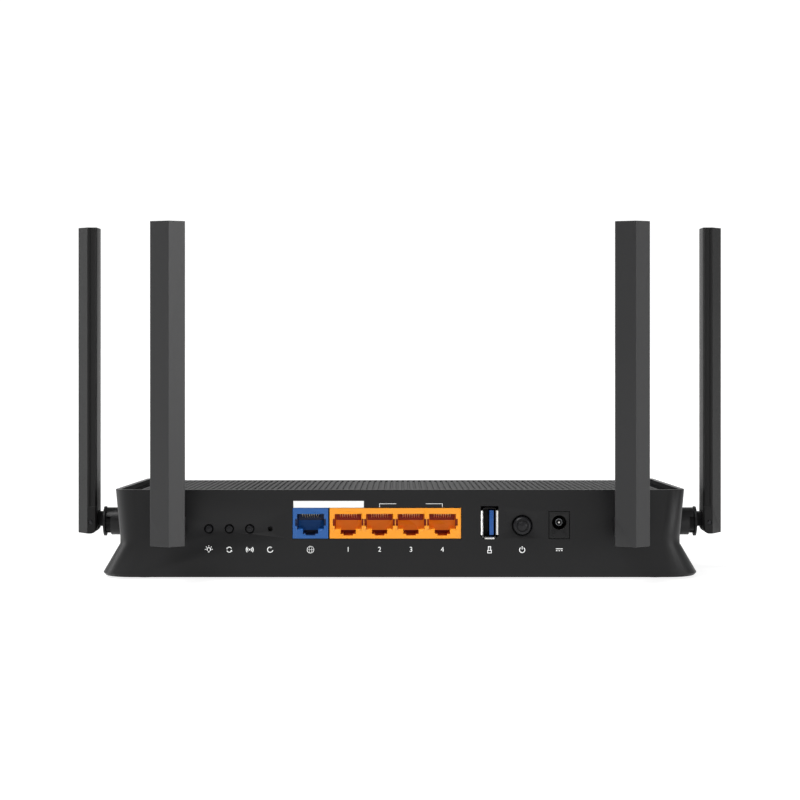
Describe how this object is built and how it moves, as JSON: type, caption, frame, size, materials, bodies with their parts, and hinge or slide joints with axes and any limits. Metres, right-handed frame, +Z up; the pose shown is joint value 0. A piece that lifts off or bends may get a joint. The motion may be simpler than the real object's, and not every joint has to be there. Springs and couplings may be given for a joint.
{
  "type": "wireless router",
  "caption": "Low flat-topped wireless router with folding swivel antennas, network jacks, a USB socket, buttons and a power inlet.",
  "frame": {"origin": "on the desk, under the middle of the router's bounding box", "axes": "-Y out of the port panel, +X to the right as seen from there, +Z up"},
  "size_m": [0.2996, 0.1634, 0.1584],
  "materials": {
    "case_black": "fine matte",
    "fascia_black": "gloss",
    "foot_rubber": "matt",
    "screw_steel": "zinc plated",
    "board_green": "solder mask on glass-fibre board",
    "jack_blue": "satin",
    "jack_orange": "satin",
    "contact_gold": "gold plated",
    "socket_steel": "nickel plated",
    "tongue_blue": "satin",
    "socket_black": "satin",
    "switch_grey": "matt",
    "button_black": "satin",
    "plunger_black": "matt",
    "chip_black": "matt",
    "pad_grey": "soft",
    "sink_aluminium": "anodised",
    "shield_tin": "tin plated",
    "capacitor_can": "sleeved can",
    "guide_clear": "clear acrylic",
    "lamp_white": "light-emitting diode",
    "lead_grey": "cable jacket",
    "knuckle_black": "matt",
    "pin_black": "satin",
    "blade_black": "fine matte",
    "element_green": "circuit strip"
  },
  "bodies": {
    "case": {"top_cover": "case_black", "front_fascia": "fascia_black", "main_case": "case_black", "bottom_cover": "case_black", "rubber_feet": "foot_rubber", "case_screws": "screw_steel", "main_board": "board_green", "board_screws": "screw_steel", "wan_jack": "jack_blue", "wan_contacts": "contact_gold", "lan_jacks": "jack_orange", "lan_contacts": "contact_gold", "usb_shell": "socket_steel", "usb_tongue": "tongue_blue", "dc_jack": "socket_black", "dc_pin": "socket_steel", "power_switch": "switch_grey", "button_switches": "switch_grey", "reset_switch": "switch_grey", "main_chip": "chip_black", "thermal_pad": "pad_grey", "heat_sink": "sink_aluminium", "radio_shields": "shield_tin", "small_chips": "chip_black", "magnetics": "chip_black", "capacitors": "capacitor_can", "light_guide": "guide_clear", "indicator_lights": "lamp_white", "coax_sockets": "contact_gold", "antenna_leads": "lead_grey", "rear_left_collar": "case_black", "rear_right_collar": "case_black", "side_left_collar": "case_black", "side_right_collar": "case_black"},
    "power_button_body": {"power_button": "button_black"},
    "lights_button_body": {"lights_button": "button_black"},
    "pairing_button_body": {"pairing_button": "button_black"},
    "radio_button_body": {"radio_button": "button_black"},
    "reset_plunger_body": {"reset_plunger": "plunger_black"},
    "rear_left_swivel_body": {"rear_left_knuckle": "knuckle_black"},
    "rear_left_blade_body": {"rear_left_pin": "pin_black", "rear_left_front_shell": "blade_black", "rear_left_back_shell": "blade_black", "rear_left_element": "element_green"},
    "rear_right_swivel_body": {"rear_right_knuckle": "knuckle_black"},
    "rear_right_blade_body": {"rear_right_pin": "pin_black", "rear_right_front_shell": "blade_black", "rear_right_back_shell": "blade_black", "rear_right_element": "element_green"},
    "side_left_swivel_body": {"side_left_knuckle": "knuckle_black"},
    "side_left_blade_body": {"side_left_pin": "pin_black", "side_left_front_shell": "blade_black", "side_left_back_shell": "blade_black", "side_left_element": "element_green"},
    "side_right_swivel_body": {"side_right_knuckle": "knuckle_black"},
    "side_right_blade_body": {"side_right_pin": "pin_black", "side_right_front_shell": "blade_black", "side_right_back_shell": "blade_black", "side_right_element": "element_green"}
  },
  "joints": [
    {"name": "power_press", "type": "slide", "parent": "case", "child": "power_button_body", "axis": [0, 1, 0], "range_m": [0, 0.0025], "stiffness_N_per_m": 300, "springref_m": -0.002},
    {"name": "lights_press", "type": "slide", "parent": "case", "child": "lights_button_body", "axis": [0, 1, 0], "range_m": [0, 0.0005], "stiffness_N_per_m": 800, "springref_m": -0.0005},
    {"name": "pairing_press", "type": "slide", "parent": "case", "child": "pairing_button_body", "axis": [0, 1, 0], "range_m": [0, 0.0005], "stiffness_N_per_m": 800, "springref_m": -0.0005},
    {"name": "radio_press", "type": "slide", "parent": "case", "child": "radio_button_body", "axis": [0, 1, 0], "range_m": [0, 0.0005], "stiffness_N_per_m": 800, "springref_m": -0.0005},
    {"name": "reset_press", "type": "slide", "parent": "case", "child": "reset_plunger_body", "axis": [0, 1, 0], "range_m": [0, 0.0004], "stiffness_N_per_m": 800, "springref_m": -0.0005},
    {"name": "rear_left_swivel", "type": "hinge", "parent": "case", "child": "rear_left_swivel_body", "pos_m": [-0.1014, -0.05775, 0.0219], "axis": [0, 1, 0], "range_deg": [-90, 90]},
    {"name": "rear_left_fold", "type": "hinge", "parent": "rear_left_swivel_body", "child": "rear_left_blade_body", "pos_m": [-0.1014, -0.07525, 0.0219], "axis": [1, 0, 0], "range_deg": [0, 90]},
    {"name": "rear_right_swivel", "type": "hinge", "parent": "case", "child": "rear_right_swivel_body", "pos_m": [0.1014, -0.05775, 0.0219], "axis": [0, 1, 0], "range_deg": [-90, 90]},
    {"name": "rear_right_fold", "type": "hinge", "parent": "rear_right_swivel_body", "child": "rear_right_blade_body", "pos_m": [0.1014, -0.07525, 0.0219], "axis": [1, 0, 0], "range_deg": [0, 90]},
    {"name": "side_left_swivel", "type": "hinge", "parent": "case", "child": "side_left_swivel_body", "pos_m": [-0.12582, -0.00975, 0.0219], "axis": [1, 0, 0], "range_deg": [-90, 90]},
    {"name": "side_left_fold", "type": "hinge", "parent": "side_left_swivel_body", "child": "side_left_blade_body", "pos_m": [-0.14332, -0.00975, 0.0219], "axis": [0, -1, 0], "range_deg": [0, 90]},
    {"name": "side_right_swivel", "type": "hinge", "parent": "case", "child": "side_right_swivel_body", "pos_m": [0.12582, -0.00975, 0.0219], "axis": [-1, 0, 0], "range_deg": [-90, 90]},
    {"name": "side_right_fold", "type": "hinge", "parent": "side_right_swivel_body", "child": "side_right_blade_body", "pos_m": [0.14332, -0.00975, 0.0219], "axis": [0, 1, 0], "range_deg": [0, 90]}
  ]
}
